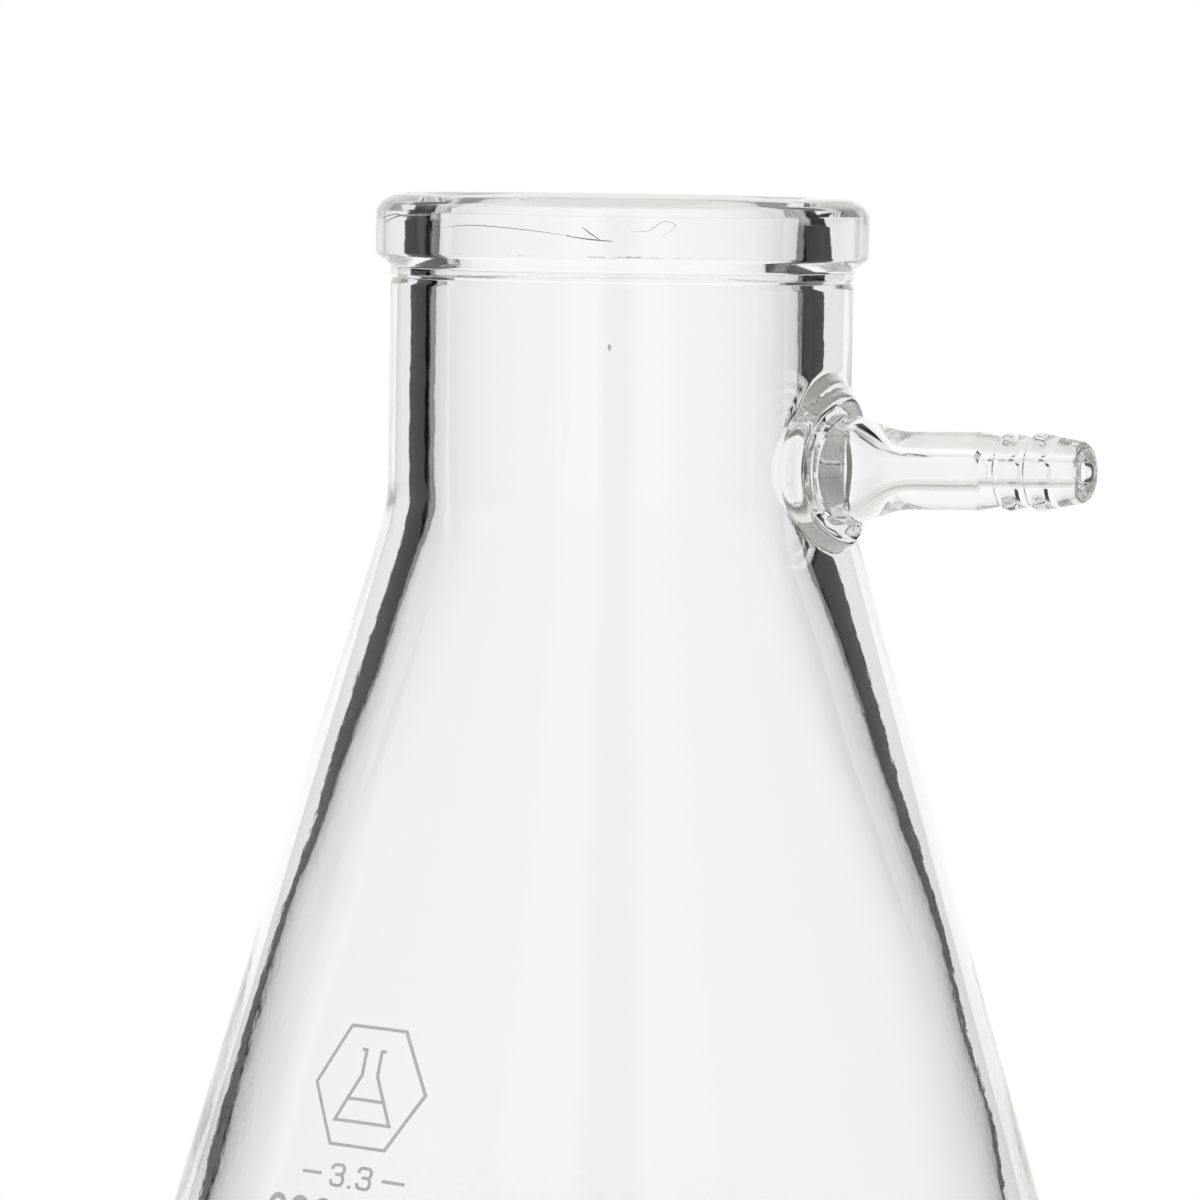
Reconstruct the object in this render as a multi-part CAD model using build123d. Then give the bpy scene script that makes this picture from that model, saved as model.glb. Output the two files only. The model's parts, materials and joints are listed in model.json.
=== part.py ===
from build123d import *
import os
from math import cos, pi, radians, sin, sqrt

# A 2000 ml conical vacuum filter flask in borosilicate glass. Millimetres, +Z up.
# The origin is on the flask's axis in the plane that it stands on, and the side arm points along +X.

# --- Driving dimensions: the body -------------------------------------------------------------
HEIGHT = 255.0
BODY_DIAMETER = 166.0
NECK_DIAMETER = 59.5
FLANK_SLOPE = 0.2934  # radius gained for each millimetre down the outside of the cone
SHOULDER_HEIGHT = 215.0  # where the lines of the neck and the cone would meet
SHOULDER_RADIUS = 20.0
REST_RING_INNER = 46.0  # inner radius of the flat ring that it stands on
PUSH_UP = 3.0  # how far the middle of the base is raised

# The glass is thick at the neck, thinnest about half way down the cone, and thicker again below.
# Walls of the cone are measured level, from its outside to its inside.
NECK_BORE_DIAMETER = 48.0
INNER_SLOPE_UPPER = 0.348
WAIST_HEIGHT = 157.0
WAIST_WALL = 3.2
LOWER_HEIGHT = 110.0  # from here down, the inside runs alongside the outside
LOWER_WALL = 4.7
BASE_WALL = 6.2
INNER_HEEL_RADIUS = 25.0

# --- Driving dimensions: the beaded rim -------------------------------------------------------
BEAD_DIAMETER = 63.3
BEAD_BOTTOM = 247.3
BEAD_CREASE = 252.8  # where the side of the bead turns into its domed top
COLLAR_TOP = 245.8  # a short collar under the bead, set off from the neck by a groove
COLLAR_BOTTOM = 244.7
GROOVE_DEPTH = 0.35

# --- Driving dimensions: the side arm ---------------------------------------------------------
ARM_TILT = 1.6  # degrees, rising outwards
ARM_HEIGHT = 221.0  # of the arm's axis, 33 mm out from the flask's axis
ARM_REFERENCE = 33.0
FOOT_RADIUS = 11.5  # the conical foot of the boss, where it leaves the neck
FOOT_TOP_RADIUS = 8.9
FOOT_RISE = 2.0
FOOT_LIFT = 0.9  # the foot sits a little above the arm's axis
WELD_RADIUS = 9.1  # the bead of weld on the foot, which the arm is sealed to
WELD_RISE = 2.4
WELD_ROUND = 0.35
ARM_ROOT_RADIUS = 7.1
HOSE_RADIUS = 4.9
HOSE_START = 41.4  # distances along the arm are from the flask's axis
HOSE_END = 50.7
BARB_GROOVES = (53.8, 57.9)
BARB_SHOULDER = (4.75, 0.25)  # its radius, and how far past the groove
BARB_PEAK = (4.9, 0.8)
GROOVE_RADIUS = 4.25
ARM_TIP = 65.0
TIP_RADIUS = 3.7
ROOT_BORE_RADIUS = 5.2
ARM_BORE_RADIUS = 1.8
BARB_BORE_RADIUS = 1.4
TIP_MOUTH_RADIUS = 2.2

# --- Driving dimensions: the fired-on print ---------------------------------------------------
PRINT_AZIMUTH = -100.0  # degrees, anticlockwise from +X seen from above
PRINT_HEIGHT = 145.4
ENAMEL_THICKNESS = 0.12
EMBLEM_WIDTH = 17.6
FINE_LINE = 0.4
BOLD_LINE = 0.75
NUMBER_BASELINE = -12.65  # measured up the flank from the middle of the emblem
NUMBER_FIGURE_HEIGHT = 2.95
CAPACITY_BASELINE = -19.4
CAPACITY_FIGURE_HEIGHT = 5.2

NECK_RADIUS = NECK_DIAMETER / 2
NECK_BORE_RADIUS = NECK_BORE_DIAMETER / 2
BODY_RADIUS = BODY_DIAMETER / 2
ARM_FRAME = Plane(
    origin=(0, 0, ARM_HEIGHT - ARM_REFERENCE * sin(radians(ARM_TILT))),
    x_dir=(0, 1, 0),
    z_dir=(cos(radians(ARM_TILT)), 0, sin(radians(ARM_TILT))),
)


def flank_radius(height):
    """Outer radius of the cone at a height."""
    return NECK_RADIUS + FLANK_SLOPE * (SHOULDER_HEIGHT - height)


def heel_radius():
    """The radius that is tangent to the flank and the base, and just reaches the body's diameter."""
    slant = sqrt(1 + FLANK_SLOPE**2)
    return (flank_radius(0) - BODY_RADIUS) / (slant - 1 + FLANK_SLOPE)


def turned(outline, plane=Plane.XZ):
    """A solid of revolution from a closed outline of (radius, height, corner radius) points."""
    points = [(radius, height) for radius, height, _ in outline]
    corners = [corner for _, _, corner in outline]
    face = make_face(plane * FilletPolyline(*points, radius=corners, close=True))
    return revolve(face, Axis(plane.origin, plane.y_dir), 360)


def body_outline():
    """Half the section of the body: up the outside, over the rim and down the inside."""
    waist = flank_radius(WAIST_HEIGHT) - WAIST_WALL
    inner_shoulder = WAIST_HEIGHT + (waist - NECK_BORE_RADIUS) / INNER_SLOPE_UPPER
    lower = flank_radius(LOWER_HEIGHT) - LOWER_WALL
    inner_corner = flank_radius(BASE_WALL) - LOWER_WALL
    bead = BEAD_DIAMETER / 2
    outside = [
        (0, PUSH_UP, 0),
        (REST_RING_INNER / 2, PUSH_UP, 60),
        (REST_RING_INNER, 0, 12),
        (flank_radius(0), 0, heel_radius()),
        (NECK_RADIUS, SHOULDER_HEIGHT, SHOULDER_RADIUS),
    ]
    rim = [
        (NECK_RADIUS, COLLAR_BOTTOM - 1.1, 1.0),
        (NECK_RADIUS - GROOVE_DEPTH, COLLAR_BOTTOM - 0.4, 0.15),
        (NECK_RADIUS, COLLAR_BOTTOM, 0.15),
        (NECK_RADIUS, COLLAR_TOP, 0.5),
        (bead, BEAD_BOTTOM, 0.8),
        (bead, BEAD_CREASE, 0.3),
        (bead - 0.7, HEIGHT - 1.05, 1.5),
        (bead - 2.2, HEIGHT - 0.2, 2.0),
        (bead - 3.6, HEIGHT, 3.0),
        (NECK_BORE_RADIUS + 2.6, HEIGHT, 3.0),
        (NECK_BORE_RADIUS + 1.2, HEIGHT - 0.4, 1.5),
        (NECK_BORE_RADIUS + 0.2, HEIGHT - 1.6, 1.0),
        (NECK_BORE_RADIUS, HEIGHT - 3.5, 3.0),
    ]
    inside = [
        (NECK_BORE_RADIUS, inner_shoulder, 14),
        (waist, WAIST_HEIGHT, 260),
        (lower, LOWER_HEIGHT, 260),
        (inner_corner, BASE_WALL, INNER_HEEL_RADIUS),
        (REST_RING_INNER, BASE_WALL, 12),
        (REST_RING_INNER / 2, BASE_WALL + PUSH_UP, 60),
        (0, BASE_WALL + PUSH_UP, 0),
    ]
    return outside + rim + inside


def along_arm(radius, start, end, lift=0.0):
    """A cylinder about the arm's axis, or about a line above it, between two distances from the flask's axis."""
    plane = Plane(
        origin=ARM_FRAME.origin + ARM_FRAME.z_dir * start + Vector(0, 0, lift),
        x_dir=ARM_FRAME.x_dir,
        z_dir=ARM_FRAME.z_dir,
    )
    return extrude(plane * Circle(radius), end - start)


def neck_cylinder(rise):
    """A cylinder about the flask's axis that stands proud of the neck by the rise, near the arm."""
    return Pos(0, 0, ARM_HEIGHT) * Cylinder(NECK_RADIUS + rise, 40)


def make_boss():
    """The conical foot that stands on the neck, and the round-edged bead of weld on top of it."""
    wall_middle = (NECK_RADIUS + NECK_BORE_RADIUS) / 2 - 1
    foot = along_arm(FOOT_RADIUS, wall_middle, 40, FOOT_LIFT) & neck_cylinder(FOOT_RISE)
    foot_top = foot.faces().sort_by(Axis.X)[-1]
    foot = chamfer(foot_top.edges(), FOOT_RISE, FOOT_RADIUS - FOOT_TOP_RADIUS, reference=foot_top)
    weld = along_arm(WELD_RADIUS, wall_middle, 40) & neck_cylinder(WELD_RISE)
    weld = fillet(weld.faces().sort_by(Axis.X)[-1].edges(), WELD_ROUND)
    return foot + weld


def make_body():
    """The blown body with its boss, and the hole that the side arm opens into."""
    body = turned(body_outline()) + make_boss()
    return body - along_arm(ROOT_BORE_RADIUS, 10, 40)


def arm_outline():
    """Half the section of the side arm, as (radius, distance from the flask's axis, corner radius)."""
    root = NECK_RADIUS - 2
    outside = [
        (ROOT_BORE_RADIUS, root, 0),
        (ARM_ROOT_RADIUS, root, 0),
        (ARM_ROOT_RADIUS, NECK_RADIUS + WELD_RISE + 0.9, 0.8),
        (HOSE_RADIUS, HOSE_START - 1.9, 12),
        (HOSE_RADIUS, HOSE_END, 2),
    ]
    for groove in BARB_GROOVES:
        outside.append((GROOVE_RADIUS, groove, 0.04))
        outside.append((BARB_SHOULDER[0], groove + BARB_SHOULDER[1], 0.3))
        outside.append((BARB_PEAK[0], groove + BARB_PEAK[1], 0.6))
    tip = [
        (TIP_RADIUS, ARM_TIP, 0.9),
        (TIP_MOUTH_RADIUS, ARM_TIP, 0.4),
        (BARB_BORE_RADIUS, ARM_TIP - 1.0, 0.4),
        (BARB_BORE_RADIUS, HOSE_END + 0.2, 0.08),
        (ARM_BORE_RADIUS, HOSE_END - 0.4, 0.08),
        (ARM_BORE_RADIUS, HOSE_START - 2.6, 10),
        (ROOT_BORE_RADIUS, NECK_RADIUS + WELD_RISE + 1.2, 2),
    ]
    return outside + tip


def make_arm():
    """The hose nozzle. Its root is cut to a saddle that fits the boss face to face."""
    section_plane = Plane(
        origin=ARM_FRAME.origin,
        x_dir=ARM_FRAME.x_dir,
        z_dir=ARM_FRAME.x_dir.cross(ARM_FRAME.z_dir),
    )
    return turned(arm_outline(), section_plane) - neck_cylinder(WELD_RISE)


def print_plane():
    """The plane that touches the cone at the middle of the print, x to the right and y up the flank."""
    azimuth = radians(PRINT_AZIMUTH)
    outward = Vector(cos(azimuth), sin(azimuth), 0)
    right = Vector(-sin(azimuth), cos(azimuth), 0)
    middle = outward * flank_radius(PRINT_HEIGHT) + Vector(0, 0, PRINT_HEIGHT)
    return Plane(origin=middle, x_dir=right, z_dir=outward + Vector(0, 0, FLANK_SLOPE))


def enamel_skin():
    """A thin layer on the outside of the cone, as thick as the enamel."""
    low, high = PRINT_HEIGHT - 30, PRINT_HEIGHT + 20
    thick = ENAMEL_THICKNESS * sqrt(1 + FLANK_SLOPE**2)
    outline = [
        (flank_radius(low), low, 0),
        (flank_radius(low) + thick, low, 0),
        (flank_radius(high) + thick, high, 0),
        (flank_radius(high), high, 0),
    ]
    return turned(outline)


def printed(strokes):
    """Flat strokes laid on the cone as one thin solid each."""
    plane = print_plane()
    skin = enamel_skin()
    solids = []
    for stroke in strokes:
        for face in stroke.faces():
            block = extrude(plane * face, 5, both=True)
            solids += (block & skin).solids()
    return Compound(children=solids)


def line_of(width, *points, radius=0.0, close=False):
    """A stroke of one width along straight runs with rounded corners."""
    if len(points) == 2:
        return trace(Line(*points), width)
    return trace(FilletPolyline(*points, radius=radius, close=close), width)


def emblem_strokes():
    """A plain hexagon, and in it the outline of a conical flask with some liquid. Not anybody's mark."""
    inner_width = EMBLEM_WIDTH / 2 - FINE_LINE / cos(pi / 6)
    hexagon = RegularPolygon(EMBLEM_WIDTH / 2, 6) - RegularPolygon(inner_width, 6)
    half_neck, half_base, lip = 1.2, 4.3, 1.9
    top, shoulder, base, level, half_level = 4.6, 1.5, -4.4, -1.6, 2.9
    flask = line_of(
        FINE_LINE,
        (-lip, top),
        (-half_neck, top),
        (-half_neck, shoulder),
        (-half_base, base),
        (half_base, base),
        (half_neck, shoulder),
        (half_neck, top),
        (lip, top),
    )
    return [hexagon, flask + line_of(FINE_LINE, (-half_level, level), (half_level, level))]


def glyph(name, width, height, line):
    """One figure or letter of a round stroke face, with its foot at the origin."""
    x = (width - line) / 2
    low, high = line / 2, height - line / 2
    middle = height * 0.53
    bend = 0.97 * x
    if name == "0":
        return line_of(line, (-x, low), (x, low), (x, high), (-x, high), radius=bend, close=True)
    if name == "2":
        hook = high - bend * 1.1
        points = [(-x, hook), (-x, high), (x, high), (x, middle), (-x, low), (x, low)]
        return line_of(line, *points, radius=[bend, bend, bend / 2, 0])
    if name == "3":
        lobe = 0.97 * min(x, (high - middle) / 2)
        upper = [(-x, high - 1.1 * lobe), (-x, high), (x, high), (x, middle), (-x / 3, middle)]
        lower = [(-x / 3, middle), (x, middle), (x, low), (-x, low), (-x, low + 1.1 * lobe)]
        return line_of(line, *upper, radius=lobe) + line_of(line, *lower, radius=lobe)
    if name == "m":
        arch = height * 0.7 - line / 2
        left = line_of(line, (-x, 0), (-x, arch), (0, arch), (0, 0), radius=[0, x / 2])
        return left + line_of(line, (0, arch), (x, arch), (x, 0), radius=x / 2)
    if name == "l":
        return line_of(line, (0, 0), (0, height))
    if name == "-":
        return line_of(line, (-x, height / 2), (x, height / 2))
    return Pos(0, line / 2) * Rectangle(line, line)


def row_of_glyphs(row, baseline, height, line):
    """The glyphs of a row, each given as (name, place along the row, width)."""
    return [Pos(place, baseline) * glyph(name, width, height, line) for name, place, width in row]


def capacity_strokes():
    """The nominal capacity, 2000 ml, in bold figures."""
    pitch, start, width = 4.0, -11.5, 3.2
    row = [(figure, start + index * pitch, width) for index, figure in enumerate("2000")]
    row += [("m", start + 4.6 * pitch, 4.4), ("l", start + 5.5 * pitch, BOLD_LINE)]
    return row_of_glyphs(row, CAPACITY_BASELINE, CAPACITY_FIGURE_HEIGHT, BOLD_LINE)


def glass_number_strokes():
    """The number of the type of glass, 3.3, between two short rules."""
    row = [("-", -6.4, 3.6), ("3", -2.1, 2.3), (".", 0, FINE_LINE), ("3", 2.1, 2.3), ("-", 6.4, 3.6)]
    return row_of_glyphs(row, NUMBER_BASELINE, NUMBER_FIGURE_HEIGHT, FINE_LINE)


NODES = {
    "flask_body": make_body(),
    "side_arm": make_arm(),
    "enamel_emblem": printed(emblem_strokes()),
    "enamel_glass_number": printed(glass_number_strokes()),
    "enamel_capacity": printed(capacity_strokes()),
}

os.makedirs("parts", exist_ok=True)
for node, shape in NODES.items():
    export_step(shape, f"parts/{node}.step")
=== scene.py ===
import json
from math import asin, atan2, ceil, cos, hypot, pi, radians, sin, sqrt, tan

import bpy
from mathutils import Matrix, Vector, noise


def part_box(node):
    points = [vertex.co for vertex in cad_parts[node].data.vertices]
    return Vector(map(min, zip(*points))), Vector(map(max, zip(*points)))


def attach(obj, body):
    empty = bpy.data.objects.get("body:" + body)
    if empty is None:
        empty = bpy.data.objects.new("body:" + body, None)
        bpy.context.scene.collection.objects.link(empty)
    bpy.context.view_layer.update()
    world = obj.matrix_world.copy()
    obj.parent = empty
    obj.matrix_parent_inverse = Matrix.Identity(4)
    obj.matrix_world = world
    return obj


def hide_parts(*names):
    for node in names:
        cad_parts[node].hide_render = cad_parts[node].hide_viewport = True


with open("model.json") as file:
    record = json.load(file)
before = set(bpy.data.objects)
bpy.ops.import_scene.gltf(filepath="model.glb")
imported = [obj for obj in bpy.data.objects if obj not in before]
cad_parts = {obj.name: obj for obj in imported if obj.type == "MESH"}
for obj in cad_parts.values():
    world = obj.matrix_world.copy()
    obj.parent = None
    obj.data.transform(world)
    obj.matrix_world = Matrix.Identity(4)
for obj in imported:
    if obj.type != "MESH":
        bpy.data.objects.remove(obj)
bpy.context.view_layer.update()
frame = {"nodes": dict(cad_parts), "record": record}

# The outlines below are in millimetres. Meshes are scaled to metres when they are made.
MM = 0.001
mounts = {mount["name"]: mount for mount in frame["record"]["mounts"]}

# --- The body, from the frame where it says ---------------------------------------------------
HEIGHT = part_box("flask_body")[1].z / MM
NECK_RADIUS = mounts["neck_grip"]["dims"]["r_mm"]
BORE_RADIUS = mounts["neck_bore"]["dims"]["r_mm"]
FLANK_SLOPE = 0.2934
SHOULDER_HEIGHT = 215.0
SHOULDER_RADIUS = 20.0
BODY_RADIUS = 83.0
REST_RING_INNER = 46.0
PUSH_UP = 3.0
INNER_SLOPE_UPPER = 0.348
WAIST_HEIGHT = 157.0
WAIST_WALL = 3.2
LOWER_HEIGHT = 110.0
LOWER_WALL = 4.7
BASE_WALL = 6.2
INNER_HEEL_RADIUS = 25.0
BEAD_RADIUS = 31.65
BEAD_CREASE = HEIGHT - 2.2
COLLAR_TOP = HEIGHT - 9.2
COLLAR_BOTTOM = HEIGHT - 10.3
BORE_SHIFT = 0.45  # how far the neck's bore stands off the flask's axis
BORE_SHIFT_FROM = 138.0  # the height where that begins, growing to all of it over the next
BORE_SHIFT_OVER = 100.0
OUTSIDE_WAVE = (16.0, 0.035)  # size and height of the blown glass's unevenness
INSIDE_WAVE = (11.0, 0.06)

# --- The side arm -----------------------------------------------------------------------------
ARM_AXIS = Vector(mounts["hose_nozzle"]["axis"]).normalized()
ARM_UP = Vector((-ARM_AXIS.z, 0, ARM_AXIS.x))
ARM_POINT = Vector(mounts["hose_nozzle"]["pos_m"]) / MM
ARM_ORIGIN = ARM_POINT - ARM_AXIS * (ARM_POINT.x / ARM_AXIS.x)  # where the arm's axis meets the flask's
HOSE_RADIUS = mounts["hose_nozzle"]["dims"]["r_mm"]
TIP_BORE = mounts["vacuum_port"]["dims"]["r_mm"]
ARM_ROOT_RADIUS = 7.1
ROOT_BORE_RADIUS = 5.2
FOOT_RADIUS = 11.8
FOOT_HOLLOW = 0.45  # the share of the foot that curves up out of the neck
FOOT_TOP_RADIUS = 10.2
FOOT_RISE = 1.2
FOOT_LIFT = 0.9
FOOT_NARROWING = 1.08  # the foot is less wide than high
WELD_RADIUS = 9.1
WELD_HALF_WIDTH = 1.0
WELD_RISE = 1.0
ARM_HEIGHT = (ARM_ORIGIN + ARM_AXIS * NECK_RADIUS).z

# --- How finely the glass is meshed -----------------------------------------------------------
COLUMNS = 256
WINDOW_COLUMNS = 20  # the patch round the arm, either side of it
WINDOW_ROWS = 14
WINDOW_STEP = 1.0
PATCH_RINGS = 24
HOLE_START = 30.9  # where the hole for the arm begins, along the arm
HOLE_LENGTH = 5.2
BORE_LIP = 1.3  # rounding of the hole's inner edge
SEAM_RINGS = (6.5, 5.9)  # radii between the arm's outside and its bore
ENAMEL_GRAIN = 2600

# The materials of a glass piece, in the order of its slots.
OUTSIDE, INSIDE, SEAM, AIRLINE = range(4)
GLASS_INDEX = 1.473

# Airlines, the drawn-out bubbles in the bead: thickness, depth under the bead's side, and the places they
# pass, as degrees to the right of the near side and height.
AIRLINES = (
    (0.07, 0.5, ((-45, 251.0), (-39, 251.3), (-33, 251.3), (-22, 250.9), (-12, 250.3))),
    (0.11, 0.5, ((-13, 250.3), (-9, 250.0), (-5, 249.8), (-2, 249.7))),
    (0.08, 0.5, ((-9.2, 251.4), (-7.5, 250.7), (-5.2, 249.9))),
    (0.035, 0.9, ((1.7, 250.9), (6, 251.1), (9.4, 252.2), (12.2, 251.7), (9, 250.4))),
    (0.11, 0.6, ((-73, 251.3), (-64, 252.2), (-55, 252.4), (-47, 252.6))),
    (0.09, 0.8, ((-78, 251.6), (-66, 252.4), (-58, 251.8))),
)
AIRLINE_STEPS = 6
# The bubble in the neck: degrees to the right, depth under the surface, height and size.
SEED = (-2.9, 2.5, 236.5, 0.22)

# --- The studio, as seen from the flask, in degrees ----------------------------------------------
# A pair is where something begins and ends to blend. Directions are to the right of straight ahead.
LEFT_CARD_START = (-31.5, -29.5)
LEFT_CARD_END = (-57, -54)
LEFT_CARD_WIDE_END = (-72, -68)  # where the card isn't low
RIGHT_CARD_START = (33.4, 35.0)
RIGHT_CARD_END = (53, 56)
RIGHT_CARD_WIDE_END = (69, 73)
CARD_LEAN = 0.38  # how far the right card's near edge leans, for each degree of elevation
CARD_LOW = (-16, -11)
CARD_TOP = (30, 40)
WALL_LEFT_END = (-80, -72)
WALL_RIGHT_END = (62, 70)
FLOOR_FADE = (0.30, 0.66)  # metres from the flask
FLOOR_PAINTED_GLOW = (-0.12, 0.16)  # metres behind the flask over which the floor's painted light, its own glow, grows to full strength

CAMERA_AZIMUTH = 26.5
VIEW_RIGHT = Vector((cos(radians(CAMERA_AZIMUTH)), sin(radians(CAMERA_AZIMUTH)), 0))
VIEW_FORWARD = Vector((-VIEW_RIGHT.y, VIEW_RIGHT.x, 0))


# --- Outlines ---------------------------------------------------------------------------------
def flank_radius(height):
    """Outer radius of the cone at a height."""
    return NECK_RADIUS + FLANK_SLOPE * (SHOULDER_HEIGHT - height)


def rounded(outline, bend_step=6.0, longest=3.0):
    """Points along an outline of (across, along, corner radius), its corners as arcs and no gap too long."""
    corners = [Vector((a, b)) for a, b, _ in outline]
    line = [corners[0]]
    for before, corner, after, (_, _, radius) in zip(corners, corners[1:], corners[2:], outline[1:]):
        back = (before - corner).normalized()
        on = (after - corner).normalized()
        half = back.angle(on) / 2
        if radius == 0 or half > pi / 2 - 1e-4:
            line.append(corner)
            continue
        centre = corner + (back + on).normalized() * radius / sin(half)
        start = corner + back * radius / tan(half)
        sweep = (pi - 2 * half) * (1 if back.x * on.y - back.y * on.x < 0 else -1)
        count = max(2, ceil(abs(sweep) / radians(bend_step)), ceil(abs(sweep) * radius / longest))
        for index in range(count + 1):
            turn = Matrix.Rotation(sweep * index / count, 2)
            line.append(centre + turn @ (start - centre))
    line.append(corners[-1])
    filled = [line[0]]
    for point in line[1:]:
        gap = point - filled[-1]
        steps = max(1, ceil(gap.length / longest))
        start = filled[-1]
        for index in range(1, steps + 1):
            filled.append(start + gap * index / steps)
    return [tuple(point) for point in filled]


def outer_outline():
    """Up the outside of the body, from the middle of the base to the top of the rim."""
    slant = sqrt(1 + FLANK_SLOPE**2)
    heel = (flank_radius(0) - BODY_RADIUS) / (slant - 1 + FLANK_SLOPE)
    return rounded(
        [
            (0, PUSH_UP, 0),
            (REST_RING_INNER / 2, PUSH_UP, 60),
            (REST_RING_INNER, 0, 12),
            (flank_radius(0), 0, heel),
            (NECK_RADIUS, SHOULDER_HEIGHT, SHOULDER_RADIUS),
            (NECK_RADIUS, COLLAR_BOTTOM - 1.1, 1.0),
            (NECK_RADIUS - 0.35, COLLAR_BOTTOM - 0.4, 0.15),
            (NECK_RADIUS, COLLAR_BOTTOM, 0.15),
            (NECK_RADIUS, COLLAR_TOP, 0.5),
            (BEAD_RADIUS, HEIGHT - 7.7, 0.8),
            (BEAD_RADIUS, BEAD_CREASE, 0.3),
            (BEAD_RADIUS - 0.7, HEIGHT - 1.05, 1.5),
            (BEAD_RADIUS - 2.2, HEIGHT - 0.2, 2.0),
            (BEAD_RADIUS - 3.6, HEIGHT, 3.0),
            (BORE_RADIUS + 3.4, HEIGHT, 0),
        ]
    )


def inner_outline():
    """Down the inside of the body, from the top of the rim to the middle of the floor."""
    waist = flank_radius(WAIST_HEIGHT) - WAIST_WALL
    shoulder = WAIST_HEIGHT + (waist - BORE_RADIUS) / INNER_SLOPE_UPPER
    lower = flank_radius(LOWER_HEIGHT) - LOWER_WALL
    corner = flank_radius(BASE_WALL) - LOWER_WALL
    return rounded(
        [
            (BORE_RADIUS + 3.4, HEIGHT, 0),
            (BORE_RADIUS + 2.6, HEIGHT, 3.0),
            (BORE_RADIUS + 1.2, HEIGHT - 0.4, 1.5),
            (BORE_RADIUS + 0.2, HEIGHT - 1.6, 1.0),
            (BORE_RADIUS, HEIGHT - 3.5, 3.0),
            (BORE_RADIUS, shoulder, 14),
            (waist, WAIST_HEIGHT, 260),
            (lower, LOWER_HEIGHT, 260),
            (corner, BASE_WALL, INNER_HEEL_RADIUS),
            (REST_RING_INNER, BASE_WALL, 12),
            (REST_RING_INNER / 2, BASE_WALL + PUSH_UP, 60),
            (0, BASE_WALL + PUSH_UP, 0),
        ]
    )


def radius_at(line, height):
    """Radius of an outline at a height, where it passes it on the neck or the cone."""
    for (r0, z0), (r1, z1) in zip(line, line[1:]):
        if min(z0, z1) <= height <= max(z0, z1) and z0 != z1 and min(r0, r1) > 10:
            return r0 + (r1 - r0) * (height - z0) / (z1 - z0)
    raise ValueError(f"no outline at height {height}")


def with_window(line):
    """The outline with even rows where the patch round the arm is, and the index of the first of them."""
    low = ARM_HEIGHT - WINDOW_ROWS * WINDOW_STEP
    high = ARM_HEIGHT + WINDOW_ROWS * WINDOW_STEP
    rising = line[-1][1] > line[0][1]
    heights = [low + WINDOW_STEP * index for index in range(2 * WINDOW_ROWS + 1)]
    wall = [(radius_at(line, height), height) for height in heights]
    margin = WINDOW_STEP * 0.4
    below = [point for point in line if point[1] < low - margin]
    above = [point for point in line if point[1] > high + margin]
    if rising:
        return below + wall + above, len(below)
    return above + wall[::-1] + below, len(above)


# --- The surface of the glass -----------------------------------------------------------------
def smooth(value):
    """0 below 0, 1 above 1, and a smooth step between."""
    value = min(1.0, max(0.0, value))
    return value * value * (3 - 2 * value)


def boss(lateral, height):
    """How far the boss round the arm stands out from the neck: a foot and a bead of weld on it."""
    middle = hypot(lateral, height - ARM_HEIGHT)
    lifted = hypot(lateral * FOOT_NARROWING, height - ARM_HEIGHT - FOOT_LIFT)
    share = min(1.0, max(0.0, (FOOT_RADIUS - lifted) / (FOOT_RADIUS - FOOT_TOP_RADIUS)))
    foot = share**2 / (2 * FOOT_HOLLOW) if share < FOOT_HOLLOW else share - FOOT_HOLLOW / 2
    foot *= FOOT_RISE / (1 - FOOT_HOLLOW / 2)
    weld = sqrt(max(0.0, 1 - ((middle - WELD_RADIUS) / WELD_HALF_WIDTH) ** 2))
    return foot + WELD_RISE * weld


def wave(point, size, height):
    """A slow, seeded unevenness of the glass."""
    return height * noise.noise(Vector(point) / size)


def outside(radius, height, angle):
    """A point on the outer surface."""
    x, y = cos(angle), sin(angle)
    swell = wave((x * radius, y * radius, height), *OUTSIDE_WAVE) * smooth(radius / 20)
    from_arm = hypot(y * radius, height - ARM_HEIGHT)
    if abs(angle) < 0.6 and abs(height - ARM_HEIGHT) < WINDOW_ROWS * WINDOW_STEP:
        swell = swell * smooth((from_arm - ARM_ROOT_RADIUS) / 4) + boss(y * radius, height)
    return Vector((x * (radius + swell), y * (radius + swell), height))


def inside(radius, height, angle, rise=0.0):
    """A point on the inner surface, or beneath it by the rise. The wall is a little thinner on one side."""
    x, y = cos(angle), sin(angle)
    offset = -BORE_SHIFT * min(1.0, max(0.0, (height - BORE_SHIFT_FROM) / BORE_SHIFT_OVER))
    swell = wave((x * radius + 50, y * radius, height), *INSIDE_WAVE) * smooth(radius / 20) + rise
    return Vector((x * (radius + swell), y * (radius + swell), height)) + VIEW_RIGHT * offset


def arm_point(along, radius, turn):
    """A point at a distance along the arm and a radius and a turn about it."""
    return ARM_ORIGIN + ARM_AXIS * along + (Vector((0, cos(turn), 0)) + ARM_UP * sin(turn)) * radius


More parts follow.
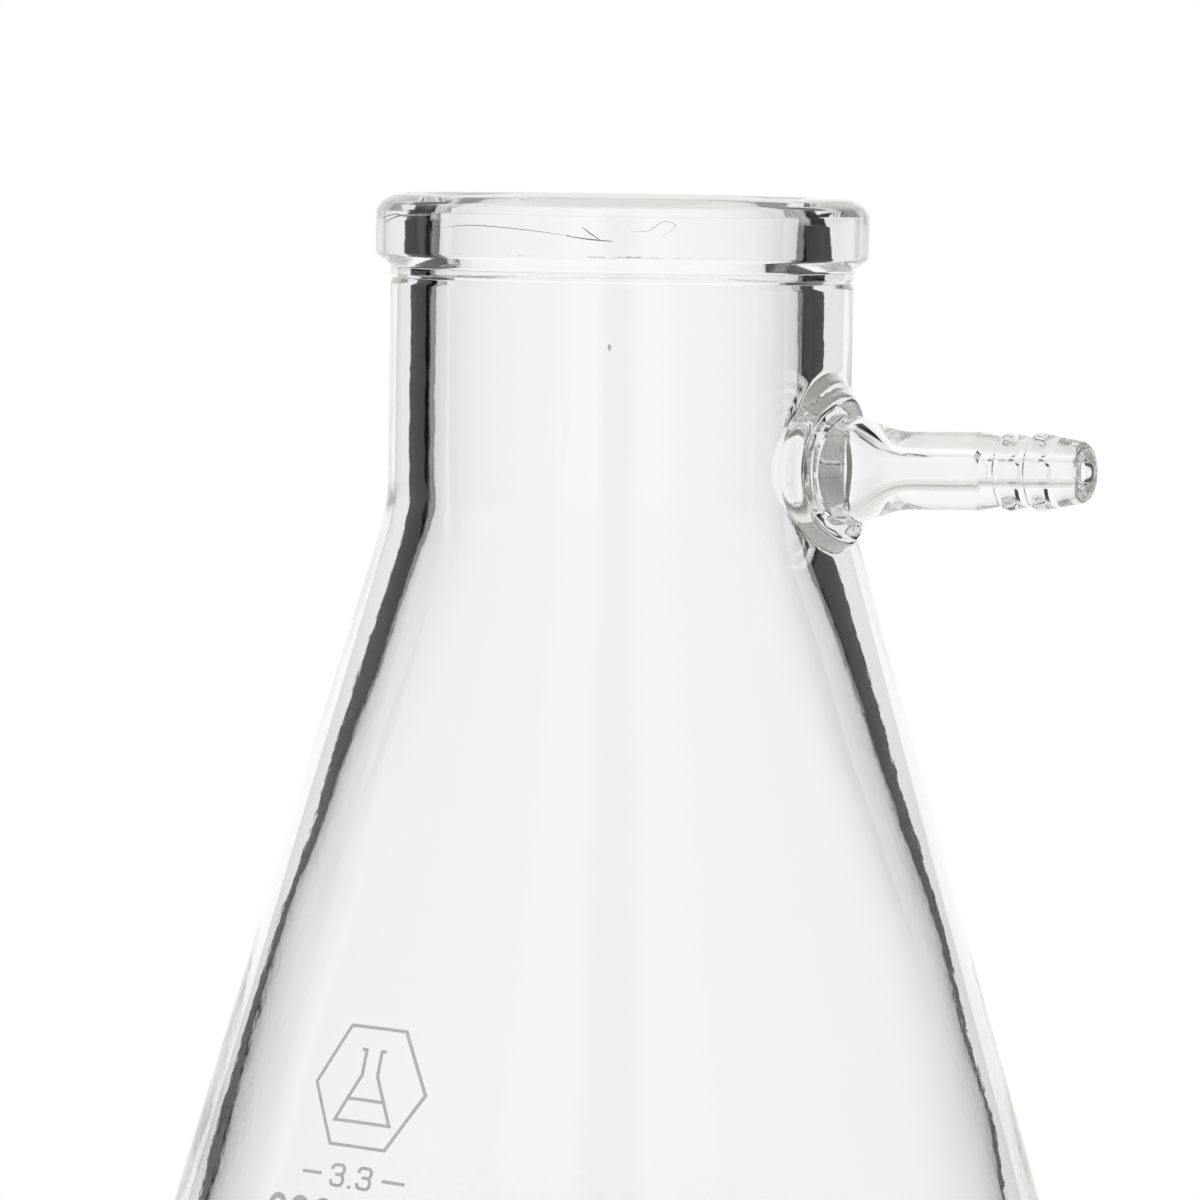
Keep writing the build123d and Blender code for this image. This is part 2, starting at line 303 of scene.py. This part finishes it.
# --- Mesh making ------------------------------------------------------------------------------
class Skin:
    """Collects the vertices and faces of one mesh."""

    def __init__(self):
        self.points = []
        self.faces = []
        self.materials = []

    def ring(self, points):
        """Adds vertices and returns their indices."""
        start = len(self.points)
        self.points.extend(points)
        return list(range(start, len(self.points)))

    def face(self, corners, material=0):
        self.faces.append(corners)
        self.materials.append(material)

    def strip(self, rings, material=0):
        """Faces between each ring and the next."""
        for first, second in zip(rings, rings[1:]):
            count = len(first)
            for index in range(count):
                after = (index + 1) % count
                self.face((first[index], first[after], second[after], second[index]), material)

    def cap(self, ring, middle, material=0):
        """Triangles from a ring to one vertex."""
        count = len(ring)
        for index in range(count):
            self.face((ring[index], ring[(index + 1) % count], middle), material)

    def make(self, name, materials):
        """The Blender object, in metres."""
        mesh = bpy.data.meshes.new(name)
        used = sorted({index for corners in self.faces for index in corners})
        place = {index: order for order, index in enumerate(used)}
        faces = [[place[index] for index in corners] for corners in self.faces]
        mesh.from_pydata([tuple(self.points[index] * MM) for index in used], [], faces)
        mesh.validate()
        for material in materials:
            mesh.materials.append(material)
        mesh.polygons.foreach_set("material_index", self.materials)
        mesh.polygons.foreach_set("use_smooth", [True] * len(mesh.polygons))
        thing = bpy.data.objects.new(name, mesh)
        bpy.context.scene.collection.objects.link(thing)
        return thing


def column_angle(column):
    return 2 * pi * column / COLUMNS


def lathe(skin, line, first_row, surface, material):
    """A turned surface with a window left open round the arm.

    Returns its rings, the window's edge, and the (height, angle, radius) of each vertex of that edge.
    """
    last_row = first_row + 2 * WINDOW_ROWS
    rings = []
    for radius, height in line:
        ring = []
        for column in range(COLUMNS):
            signed = column if column < COLUMNS / 2 else column - COLUMNS
            ring.append(surface(radius, height, column_angle(signed)))
        rings.append(skin.ring(ring))
    for row in range(len(rings) - 1):
        for column in range(COLUMNS):
            signed = column if column < COLUMNS / 2 else column - COLUMNS
            if first_row <= row < last_row and -WINDOW_COLUMNS <= signed < WINDOW_COLUMNS:
                continue
            after = (column + 1) % COLUMNS
            low, high = rings[row], rings[row + 1]
            skin.face((low[column], low[after], high[after], high[column]), material)
    edge = [(first_row, column) for column in range(-WINDOW_COLUMNS, WINDOW_COLUMNS)]
    edge += [(row, WINDOW_COLUMNS) for row in range(first_row, last_row)]
    edge += [(last_row, column) for column in range(WINDOW_COLUMNS, -WINDOW_COLUMNS, -1)]
    edge += [(row, -WINDOW_COLUMNS) for row in range(last_row, first_row, -1)]
    places = [(line[row][1], column_angle(column), line[row][0]) for row, column in edge]
    return rings, [rings[row][column % COLUMNS] for row, column in edge], places


def patch(skin, edge, places, line, circle, surface):
    """Rings from the window's edge to a circle of (lateral, height) points. Returns all but the last ring."""
    rings = [edge]
    for step in range(1, PATCH_RINGS):
        share = step / PATCH_RINGS
        share = 1 - (1 - share) ** 1.25
        points = []
        for (height, angle, radius), (lateral, level) in zip(places, circle):
            y = sin(angle) * radius * (1 - share) + lateral * share
            z = height * (1 - share) + level * share
            local = radius_at(line, z)
            points.append(surface(local, z, asin(y / local)))
        rings.append(skin.ring(points))
    return rings


def saddle_along(radius, turn, from_axis):
    """How far along the arm a line beside its axis meets a cylinder about the flask's axis."""
    x = sqrt(from_axis**2 - (radius * cos(turn)) ** 2)
    return (x + radius * sin(turn) * ARM_AXIS.z) / ARM_AXIS.x


def seam_point(radius, turn, line):
    """A point on the face where the arm is sealed to the boss."""
    height = ARM_HEIGHT + radius * sin(turn)
    from_axis = radius_at(line, height) + boss(ARM_ROOT_RADIUS, ARM_HEIGHT)
    return arm_point(saddle_along(radius, turn, from_axis), radius, turn)


outer_line, outer_first = with_window(outer_outline())
inner_line, inner_first = with_window(inner_outline())


def near_side(turn, radius, height):
    """A point at so many degrees to the right of the side that faces the camera."""
    outward = VIEW_RIGHT * sin(radians(turn)) - VIEW_FORWARD * cos(radians(turn))
    return outward * radius + Vector((0, 0, height))


def airline(skin, thickness, depth, places):
    """A thin drawn-out bubble in the glass of the bead, along (degrees to the right, height) places."""
    points = [near_side(turn, BEAD_RADIUS - depth, height) for turn, height in places]
    last = len(points) - 1
    line = []
    for index in range(last):
        before, start = points[max(0, index - 1)], points[index]
        end, after = points[index + 1], points[min(last, index + 2)]
        for step in range(AIRLINE_STEPS):
            t = step / AIRLINE_STEPS
            bend = (end - before) * t + (2 * before - 5 * start + 4 * end - after) * t**2
            line.append(start + (bend + (3 * start - before - 3 * end + after) * t**3) / 2)
    line.append(points[-1])
    rings = []
    for index, point in enumerate(line):
        along = (line[min(index + 1, len(line) - 1)] - line[max(index - 1, 0)]).normalized()
        outward = Vector((point.x, point.y, 0)).normalized()
        across = outward.cross(along).normalized()
        radius = thickness * max(0.08, sin(pi * index / (len(line) - 1))) ** 0.5
        ring = [point + (outward * cos(a * pi / 4) + across * sin(a * pi / 4)) * radius for a in range(8)]
        rings.append(skin.ring(ring))
    ends = skin.ring([line[0], line[-1]])
    skin.strip(rings, AIRLINE)
    skin.cap(rings[0][::-1], ends[0], AIRLINE)
    skin.cap(rings[-1], ends[1], AIRLINE)


def seed(skin, middle, size):
    """A small bubble in the glass, drawn out upwards."""
    rings = []
    for row in range(1, 8):
        lean = pi * row / 8
        ring = []
        for column in range(12):
            turn = column * pi / 6
            across = sin(lean) * size
            ring.append(middle + Vector((cos(turn) * across, sin(turn) * across, cos(lean) * size * 2)))
        rings.append(skin.ring(ring))
    ends = skin.ring([middle + Vector((0, 0, 2 * size)), middle - Vector((0, 0, 2 * size))])
    skin.strip(rings)
    skin.cap(rings[0][::-1], ends[0])
    skin.cap(rings[-1], ends[1])


def make_blemishes(skin):
    """The airlines in the bead and the bubble in the neck."""
    for thickness, depth, places in AIRLINES:
        airline(skin, thickness, depth, places)
    turn, depth, height, size = SEED
    seed(skin, near_side(turn, NECK_RADIUS - depth, height), size)


def make_body():
    """The blown body: outside, rim, inside and the hole for the arm, as one closed skin."""
    skin = Skin()
    outer_rings, outer_edge, outer_places = lathe(skin, outer_line[1:], outer_first - 1, outside, OUTSIDE)
    inner_rings, inner_edge, inner_places = lathe(skin, inner_line[1:-1], inner_first - 1, inside, INSIDE)
    skin.strip([outer_rings[-1], inner_rings[0]])
    under = skin.ring([Vector((0, 0, outer_line[0][1]))])[0]
    floor = skin.ring([Vector((0, 0, inner_line[-1][1]))])[0]
    skin.cap(outer_rings[0][::-1], under)
    skin.cap(inner_rings[-1], floor, INSIDE)

    turns = [atan2(height - ARM_HEIGHT, sin(angle) * radius) for height, angle, radius in outer_places]
    count = len(turns)
    corner = 4 * WINDOW_COLUMNS + 2 * WINDOW_ROWS
    mirrored = [(corner - index) % count for index in range(count)]

    root = ARM_ROOT_RADIUS
    circle = [(root * cos(turn), ARM_HEIGHT + root * sin(turn)) for turn in turns]
    rings = patch(skin, outer_edge, outer_places, outer_line, circle, outside)
    rings.append(skin.ring([seam_point(root, turn, outer_line) for turn in turns]))
    skin.strip(rings, OUTSIDE)
    seam = [rings[-1]]
    for radius in (*SEAM_RINGS, ROOT_BORE_RADIUS):
        seam.append(skin.ring([seam_point(radius, turn, outer_line) for turn in turns]))
    skin.strip(seam, SEAM)

    mouth = ROOT_BORE_RADIUS + BORE_LIP
    circle = [(mouth * cos(turns[k]), ARM_HEIGHT + mouth * sin(turns[k])) for k in mirrored]
    inner = patch(skin, inner_edge, inner_places, inner_line, circle, inside)
    skin.strip(inner, INSIDE)
    bore = [seam[-1]]
    for share in (0.25, 0.5, 0.75):
        along = HOLE_START - HOLE_LENGTH * share
        bore.append(skin.ring([arm_point(along, ROOT_BORE_RADIUS, turn) for turn in turns]))
    for step in range(7):
        bend = pi / 2 * (1 - step / 6)
        radius = mouth - BORE_LIP * sin(bend)
        points = []
        for turn in turns:
            height = ARM_HEIGHT + radius * sin(turn)
            local = radius_at(inner_line, height)
            rise = BORE_LIP * (1 - cos(bend))
            points.append(inside(local, height, asin(radius * cos(turn) / local), rise))
        bore.append(skin.ring(points))
    bore.append([inner[-1][mirrored[index]] for index in range(count)])
    skin.strip(bore, INSIDE)
    make_blemishes(skin)
    return skin, turns


def arm_outline():
    """Along the outside of the arm from seam to tip, and back along its bore, as (radius, distance)."""
    plain = 33.4
    outer = rounded(
        [
            (6.92, plain, 0),
            (HOSE_RADIUS, 39.5, 12),
            (HOSE_RADIUS, 50.7, 2),
            (4.25, 53.8, 0.02),
            (4.75, 54.16, 0.25),
            (4.9, 54.75, 0.5),
            (4.22, 57.9, 0.02),
            (4.72, 58.26, 0.25),
            (4.87, 58.85, 0.5),
            (3.7, 65.0, 0.9),
            (3.0, 65.0, 0),
        ],
        10,
        0.8,
    )
    bore = rounded(
        [
            (3.0, 65.0, 0),
            (2.2, 65.0, 0.4),
            (TIP_BORE, 64.0, 0.4),
            (TIP_BORE, 50.9, 0.08),
            (1.8, 50.3, 0.08),
            (1.8, 38.8, 10),
            (5.0, plain, 0),
        ],
        10,
        0.8,
    )
    return outer, bore[1:]


def make_arm(turns):
    """The hose nozzle, a turned tube whose root follows the saddle of the boss."""
    skin = Skin()
    outer, bore = arm_outline()
    plain = outer[0][1]
    rings = []
    for share in (0, 0.12, 0.3, 0.55, 0.8):
        radius = ARM_ROOT_RADIUS - 0.18 * smooth(share * 2)
        points = []
        for turn in turns:
            root = seam_point(ARM_ROOT_RADIUS, turn, outer_line)
            along = (root - ARM_ORIGIN).dot(ARM_AXIS)
            points.append(arm_point(along * (1 - share) + plain * share, radius, turn))
        rings.append(skin.ring(points))
    for radius, along in outer:
        rings.append(skin.ring([arm_point(along, radius, turn) for turn in turns]))
    skin.strip(rings, OUTSIDE)
    inner = [rings[-1]]
    for radius, along in bore:
        inner.append(skin.ring([arm_point(along, radius, turn) for turn in turns]))
    for share in (0.7, 0.35):
        points = []
        for turn in turns:
            root = seam_point(ROOT_BORE_RADIUS, turn, outer_line)
            along = (root - ARM_ORIGIN).dot(ARM_AXIS)
            radius = ROOT_BORE_RADIUS - 0.15 * share
            points.append(arm_point(along * (1 - share) + plain * share, radius, turn))
        inner.append(skin.ring(points))
    inner.append(skin.ring([seam_point(ROOT_BORE_RADIUS, turn, outer_line) for turn in turns]))
    skin.strip(inner, INSIDE)
    seam = [inner[-1]]
    for radius in SEAM_RINGS[::-1]:
        seam.append(skin.ring([seam_point(radius, turn, outer_line) for turn in turns]))
    seam.append(rings[0])
    skin.strip(seam, SEAM)
    return skin


# --- Materials --------------------------------------------------------------------------------
def new_material(name):
    """An empty node material with a Principled shader."""
    material = bpy.data.materials.new(name)
    material.use_nodes = True
    tree = material.node_tree
    tree.nodes.clear()
    output = tree.nodes.new("ShaderNodeOutputMaterial")
    shader = tree.nodes.new("ShaderNodeBsdfPrincipled")
    tree.links.new(shader.outputs["BSDF"], output.inputs["Surface"])
    return material, tree, shader


def add_bump(tree, shader, scale, distance):
    """Fine unevenness of the surface, from noise in the object's own space."""
    place = tree.nodes.new("ShaderNodeTexCoord")
    grain = tree.nodes.new("ShaderNodeTexNoise")
    grain.inputs["Scale"].default_value = scale
    grain.inputs["Detail"].default_value = 3.0
    bump = tree.nodes.new("ShaderNodeBump")
    bump.inputs["Strength"].default_value = 1.0
    bump.inputs["Distance"].default_value = distance
    tree.links.new(place.outputs["Object"], grain.inputs["Vector"])
    tree.links.new(grain.outputs["Fac"], bump.inputs["Height"])
    tree.links.new(bump.outputs["Normal"], shader.inputs["Normal"])


def glass_material(name, colour=(0.99, 0.995, 0.99, 1), bump_scale=0, bump_distance=0.0):
    """Clear borosilicate glass."""
    material, tree, shader = new_material(name)
    shader.inputs["Base Color"].default_value = colour
    shader.inputs["Transmission Weight"].default_value = 1.0
    shader.inputs["Roughness"].default_value = 0.0
    shader.inputs["IOR"].default_value = GLASS_INDEX
    if bump_scale:
        add_bump(tree, shader, bump_scale, bump_distance)
    return material


def seam_material():
    """The fused seam: nothing shows there, because the glass on both sides is one."""
    material, _, shader = new_material("fused_seam")
    shader.inputs["Alpha"].default_value = 0.0
    shader.inputs["Base Color"].default_value = (1, 1, 1, 1)
    return material


def enamel_material():
    """Fired-on ceramic print: light grey and matt, with a fine unevenness of its cover."""
    material, tree, shader = new_material("fired_enamel")
    place = tree.nodes.new("ShaderNodeTexCoord")
    grain = tree.nodes.new("ShaderNodeTexNoise")
    grain.inputs["Scale"].default_value = ENAMEL_GRAIN
    grain.inputs["Detail"].default_value = 4
    ramp = tree.nodes.new("ShaderNodeValToRGB")
    ramp.color_ramp.elements[0].position = 0.3
    ramp.color_ramp.elements[0].color = (0.82, 0.81, 0.80, 1)
    ramp.color_ramp.elements[1].position = 0.7
    ramp.color_ramp.elements[1].color = (0.92, 0.91, 0.90, 1)
    tree.links.new(place.outputs["Object"], grain.inputs["Vector"])
    tree.links.new(grain.outputs["Fac"], ramp.inputs["Fac"])
    tree.links.new(ramp.outputs["Color"], shader.inputs["Base Color"])
    shader.inputs["Roughness"].default_value = 0.55
    shader.inputs["Alpha"].default_value = 0.5
    add_bump(tree, shader, ENAMEL_GRAIN, 0.00002)
    return material


# --- Stage, light and camera ------------------------------------------------------------------
def math_node(tree, operation, *values):
    """A Math node with its inputs linked or set, and its result."""
    node = tree.nodes.new("ShaderNodeMath")
    node.operation = operation
    for socket, value in zip(node.inputs, values):
        if isinstance(value, (int, float)):
            socket.default_value = value
        else:
            tree.links.new(value, socket)
    return node.outputs[0]


def step_node(tree, value, low, high, start=0.0, end=1.0):
    """A smooth step from start to end as the value goes from low to high."""
    node = tree.nodes.new("ShaderNodeMapRange")
    node.interpolation_type = "SMOOTHSTEP"
    node.inputs["From Min"].default_value = low
    node.inputs["From Max"].default_value = high
    node.inputs["To Min"].default_value = start
    node.inputs["To Max"].default_value = end
    tree.links.new(value, node.inputs["Value"])
    return node.outputs["Result"]


def blend_value(tree, share, first, second):
    """first where share is 0, second where it is 1."""
    node = tree.nodes.new("ShaderNodeMix")
    node.data_type = "RGBA"
    tree.links.new(share, node.inputs["Factor"])
    for name, value in (("A", first), ("B", second)):
        socket = [s for s in node.inputs if s.name == name and s.type == "RGBA"][0]
        if isinstance(value, tuple):
            socket.default_value = value
        else:
            tree.links.new(value, socket)
    return [s for s in node.outputs if s.type == "RGBA"][0]


def make_world():
    """A bright wall behind the flask with a dark card at each side of it, and a dimmer room all round.

    Directions are degrees to the right of straight ahead, and degrees of elevation.
    """
    world = bpy.data.worlds.new("studio")
    bpy.context.scene.world = world
    world.use_nodes = True
    tree = world.node_tree
    tree.nodes.clear()
    output = tree.nodes.new("ShaderNodeOutputWorld")
    background = tree.nodes.new("ShaderNodeBackground")
    tree.links.new(background.outputs[0], output.inputs["Surface"])
    place = tree.nodes.new("ShaderNodeTexCoord")
    split = tree.nodes.new("ShaderNodeSeparateXYZ")
    tree.links.new(place.outputs["Generated"], split.inputs[0])
    x, y, z = split.outputs
    ahead_x = math_node(tree, "MULTIPLY", x, VIEW_FORWARD.x)
    ahead_y = math_node(tree, "MULTIPLY", y, VIEW_FORWARD.y)
    ahead = math_node(tree, "ADD", ahead_x, ahead_y)
    right_x = math_node(tree, "MULTIPLY", x, VIEW_RIGHT.x)
    right_y = math_node(tree, "MULTIPLY", y, VIEW_RIGHT.y)
    right = math_node(tree, "ADD", right_x, right_y)
    to_right = math_node(tree, "MULTIPLY", math_node(tree, "ARCTAN2", right, ahead), 180 / pi)
    elevation = math_node(tree, "MULTIPLY", math_node(tree, "ARCSINE", z), 180 / pi)
    height = math_node(tree, "ABSOLUTE", elevation)

    white = (1.0, 1.0, 1.0, 1)
    left_wall = (0.92, 0.92, 0.92, 1)
    right_wall = (0.86, 0.86, 0.85, 1)
    past_left_card = (0.60, 0.60, 0.59, 1)
    past_right_card = (0.45, 0.46, 0.44, 1)
    card = (0.002, 0.002, 0.002, 1)
    side = (0.16, 0.17, 0.15, 1)
    room = (0.34, 0.37, 0.31, 1)
    behind = (0.60, 0.60, 0.59, 1)
    beside_camera = (0.10, 0.10, 0.10, 1)
    ceiling = (0.85, 0.86, 0.84, 1)
    overhead = (0.22, 0.24, 0.20, 1)
    turn = math_node(tree, "ABSOLUTE", to_right)
    leaning = math_node(tree, "ADD", to_right, math_node(tree, "MULTIPLY", elevation, CARD_LEAN))
    level = step_node(tree, height, *CARD_TOP, 1, 0)
    not_low = step_node(tree, elevation, *CARD_LOW)
    left_wide = math_node(tree, "MULTIPLY", step_node(tree, to_right, *LEFT_CARD_WIDE_END), not_low)
    left_end = math_node(tree, "MAXIMUM", step_node(tree, to_right, *LEFT_CARD_END), left_wide)
    left_card = math_node(tree, "MULTIPLY", step_node(tree, to_right, *LEFT_CARD_START, 1, 0), left_end)
    right_wide = math_node(tree, "MULTIPLY", step_node(tree, to_right, *RIGHT_CARD_WIDE_END, 1, 0), not_low)
    right_end = math_node(tree, "MAXIMUM", step_node(tree, to_right, *RIGHT_CARD_END, 1, 0), right_wide)
    right_card = math_node(tree, "MULTIPLY", step_node(tree, leaning, *RIGHT_CARD_START), right_end)
    cards = math_node(tree, "MULTIPLY", math_node(tree, "ADD", left_card, right_card), level)
    wall_left = step_node(tree, to_right, *WALL_LEFT_END)
    wall_right = step_node(tree, to_right, *WALL_RIGHT_END, 1, 0)
    wall = math_node(tree, "MULTIPLY", wall_left, wall_right)
    bright = blend_value(tree, step_node(tree, to_right, -8, -28), white, left_wall)
    bright = blend_value(tree, step_node(tree, to_right, 6, 30), bright, right_wall)
    bright = blend_value(tree, step_node(tree, to_right, -45, -50), bright, past_left_card)
    bright = blend_value(tree, step_node(tree, to_right, 45, 50), bright, past_right_card)
    colour = blend_value(tree, step_node(tree, turn, 100, 125), side, room)
    colour = blend_value(tree, step_node(tree, turn, 144, 153), colour, behind)
    colour = blend_value(tree, step_node(tree, turn, 168, 174), colour, beside_camera)
    colour = blend_value(tree, wall, colour, bright)
    colour = blend_value(tree, cards, colour, card)
    colour = blend_value(tree, step_node(tree, elevation, 40, 60), colour, ceiling)
    colour = blend_value(tree, step_node(tree, elevation, 62, 72), colour, overhead)
    tree.links.new(colour, background.inputs["Color"])
    background.inputs["Strength"].default_value = 1.0


def make_floor():
    """A round pale floor that fades into the bright wall far behind the flask, and glows with painted light
    behind it.
    """
    skin = Skin()
    around = [Vector((cos(step * pi / 48), sin(step * pi / 48), 0)) for step in range(96)]
    rings = []
    for radius in (50, 100, 200, 300, 400, 500, 600, 680):
        rings.append(skin.ring([outward * radius for outward in around]))
    middle = skin.ring([Vector((0, 0, 0))])[0]
    skin.cap(rings[0], middle)
    skin.strip(rings[::-1])
    material = bpy.data.materials.new("pale_floor")
    material.use_nodes = True
    tree = material.node_tree
    tree.nodes.clear()
    output = tree.nodes.new("ShaderNodeOutputMaterial")
    matt = tree.nodes.new("ShaderNodeBsdfDiffuse")
    matt.inputs["Color"].default_value = (0.65, 0.665, 0.62, 1)
    painted_glow = tree.nodes.new("ShaderNodeEmission")
    painted_glow.inputs["Color"].default_value = (1, 1, 1, 1)
    both = tree.nodes.new("ShaderNodeAddShader")
    clear = tree.nodes.new("ShaderNodeBsdfTransparent")
    mix = tree.nodes.new("ShaderNodeMixShader")
    place = tree.nodes.new("ShaderNodeTexCoord")
    length = tree.nodes.new("ShaderNodeVectorMath")
    length.operation = "LENGTH"
    tree.links.new(place.outputs["Object"], length.inputs[0])
    share = step_node(tree, length.outputs["Value"], *FLOOR_FADE)
    along = tree.nodes.new("ShaderNodeVectorMath")
    along.operation = "DOT_PRODUCT"
    along.inputs[1].default_value = VIEW_FORWARD
    tree.links.new(place.outputs["Object"], along.inputs[0])
    # Painted light: the floor emits white light of its own, from none in front of the flask to half strength
    # behind it, so it looks more brightly lit there.
    painted_glow_strength = step_node(tree, along.outputs["Value"], *FLOOR_PAINTED_GLOW, 0.0, 0.5)
    tree.links.new(painted_glow_strength, painted_glow.inputs["Strength"])
    tree.links.new(matt.outputs[0], both.inputs[0])
    tree.links.new(painted_glow.outputs[0], both.inputs[1])
    tree.links.new(share, mix.inputs["Fac"])
    tree.links.new(both.outputs[0], mix.inputs[1])
    tree.links.new(clear.outputs[0], mix.inputs[2])
    tree.links.new(mix.outputs[0], output.inputs["Surface"])
    floor = skin.make("floor", [material])


def make_camera():
    """The camera, nearly level with the rim, square to the plane of the mark and the arm's near side."""
    distance = 784.0
    above_base = 263.65
    lens = 182.85
    pitch, yaw, roll = radians(-4.43), radians(0.163), radians(0.82)
    data = bpy.data.cameras.new("camera")
    data.sensor_width = 36.0
    data.lens = lens
    data.clip_start, data.clip_end = 0.01, 50
    camera = bpy.data.objects.new("camera", data)
    bpy.context.scene.collection.objects.link(camera)
    forward = (VIEW_FORWARD * cos(yaw) - VIEW_RIGHT * sin(yaw)) * cos(pitch) + Vector((0, 0, sin(pitch)))
    right = forward.cross(Vector((0, 0, 1))).normalized()
    up = right.cross(forward)
    rolled_right = right * cos(roll) + up * sin(roll)
    rolled_up = up * cos(roll) - right * sin(roll)
    turn = Matrix((rolled_right, rolled_up, -forward)).transposed().to_4x4()
    stand = Vector((0, 0, above_base)) - VIEW_FORWARD * distance
    camera.matrix_world = Matrix.Translation(stand * MM) @ turn
    bpy.context.scene.camera = camera


# --- Putting it together ----------------------------------------------------------------------
outer_glass = glass_material("borosilicate_outside")
inner_glass = glass_material("borosilicate_inside", bump_scale=260, bump_distance=0.00002)
arm_glass = glass_material("borosilicate_arm")
airlines = glass_material("airlines", colour=(0.22, 0.22, 0.22, 1))  # painted shade: the airlines get a dark grey tint so they show as dark threads; the real air bubbles are clear and only look dark by how they bend the light
seam = seam_material()
enamel = enamel_material()

body_skin, seam_turns = make_body()
glass_body = body_skin.make("glass_body", [outer_glass, inner_glass, seam, airlines])
glass_arm = make_arm(seam_turns).make("glass_side_arm", [arm_glass, arm_glass, seam])
for piece, node, slot in (
    (glass_body, "flask_body", "borosilicate_body"),
    (glass_arm, "side_arm", "borosilicate_arm"),
):
    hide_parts(node)
    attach(piece, "root")
for node in ("enamel_emblem", "enamel_glass_number", "enamel_capacity"):
    frame["nodes"][node].data.materials.clear()
    frame["nodes"][node].data.materials.append(enamel)

make_world()
make_floor()
make_camera()
scene = bpy.context.scene
scene.view_settings.view_transform = "Standard"
scene.cycles.max_bounces = 128
scene.cycles.transmission_bounces = 128
scene.cycles.glossy_bounces = 128
scene.cycles.transparent_max_bounces = 64
